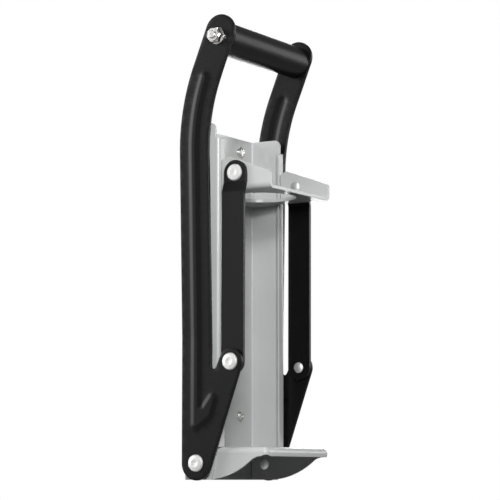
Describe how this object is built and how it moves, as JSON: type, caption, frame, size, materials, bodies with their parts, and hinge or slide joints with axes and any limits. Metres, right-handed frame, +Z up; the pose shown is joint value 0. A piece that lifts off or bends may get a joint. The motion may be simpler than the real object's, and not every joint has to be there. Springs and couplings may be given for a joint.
{
  "type": "can crusher",
  "caption": "Wall-mounted lever can crusher: a folded channel guides a sliding crushing head, driven through side links by pressed arms with a soft bar grip.",
  "frame": {"origin": "on the wall plane, at the centre of the wall screws", "axes": "+Z up along the wall, -Y out of the wall towards the user, +X to the right seen from the front"},
  "size_m": [0.1284, 0.0826, 0.3351],
  "materials": {
    "grey_paint": "satin light grey paint on folded steel sheet",
    "black_coat": "black powder coat with a fine texture",
    "plated_steel": "bright plated steel, slightly dulled",
    "grip_foam": "matt black soft grip",
    "nylon": "white nylon"
  },
  "bodies": {
    "frame": {"back_plate": "grey_paint", "can_platform": "grey_paint", "left_base_rivet": "plated_steel", "right_base_rivet": "plated_steel", "left_base_washer": "black_coat", "right_base_washer": "black_coat", "wall_screws": "plated_steel"},
    "handle": {"left_arm": "black_coat", "right_arm": "black_coat", "left_ear_rivet": "plated_steel", "right_ear_rivet": "plated_steel", "handle_grip": "grip_foam", "grip_tube": "plated_steel", "grip_end_washers": "plated_steel", "handle_bolt": "plated_steel", "handle_nut": "plated_steel", "nut_ring": "nylon", "handle_washers": "plated_steel"},
    "left_link_body": {"left_link": "black_coat", "left_link_rivet": "plated_steel"},
    "right_link_body": {"right_link": "black_coat", "right_link_rivet": "plated_steel"},
    "head": {"crusher_head": "grey_paint", "left_head_rivet": "plated_steel", "right_head_rivet": "plated_steel"}
  },
  "joints": [
    {"name": "handle_swing", "type": "hinge", "parent": "frame", "child": "handle", "pos_m": [0, -0.0134, -0.136], "axis": [1, 0, 0], "range_deg": [0, 138]},
    {"name": "left_link_pivot", "type": "hinge", "parent": "handle", "child": "left_link_body", "pos_m": [-0.04735, -0.04198, -0.06418], "axis": [1, 0, 0], "range_deg": [-137.26, 0]},
    {"name": "right_link_pivot", "type": "hinge", "parent": "handle", "child": "right_link_body", "pos_m": [0.04735, -0.04198, -0.06418], "axis": [1, 0, 0], "range_deg": [-137.26, 0]},
    {"name": "head_slide", "type": "slide", "parent": "frame", "child": "head", "axis": [0, 0, -1], "range_m": [0, 0.1444]}
  ],
  "couplings": [
    {"joint": "left_link_pivot", "follows": "handle_swing", "ratio": -0.99462},
    {"joint": "right_link_pivot", "follows": "handle_swing", "ratio": -0.99462},
    {"joint": "head_slide", "follows": "handle_swing", "m_per_rad": 0.059928}
  ]
}
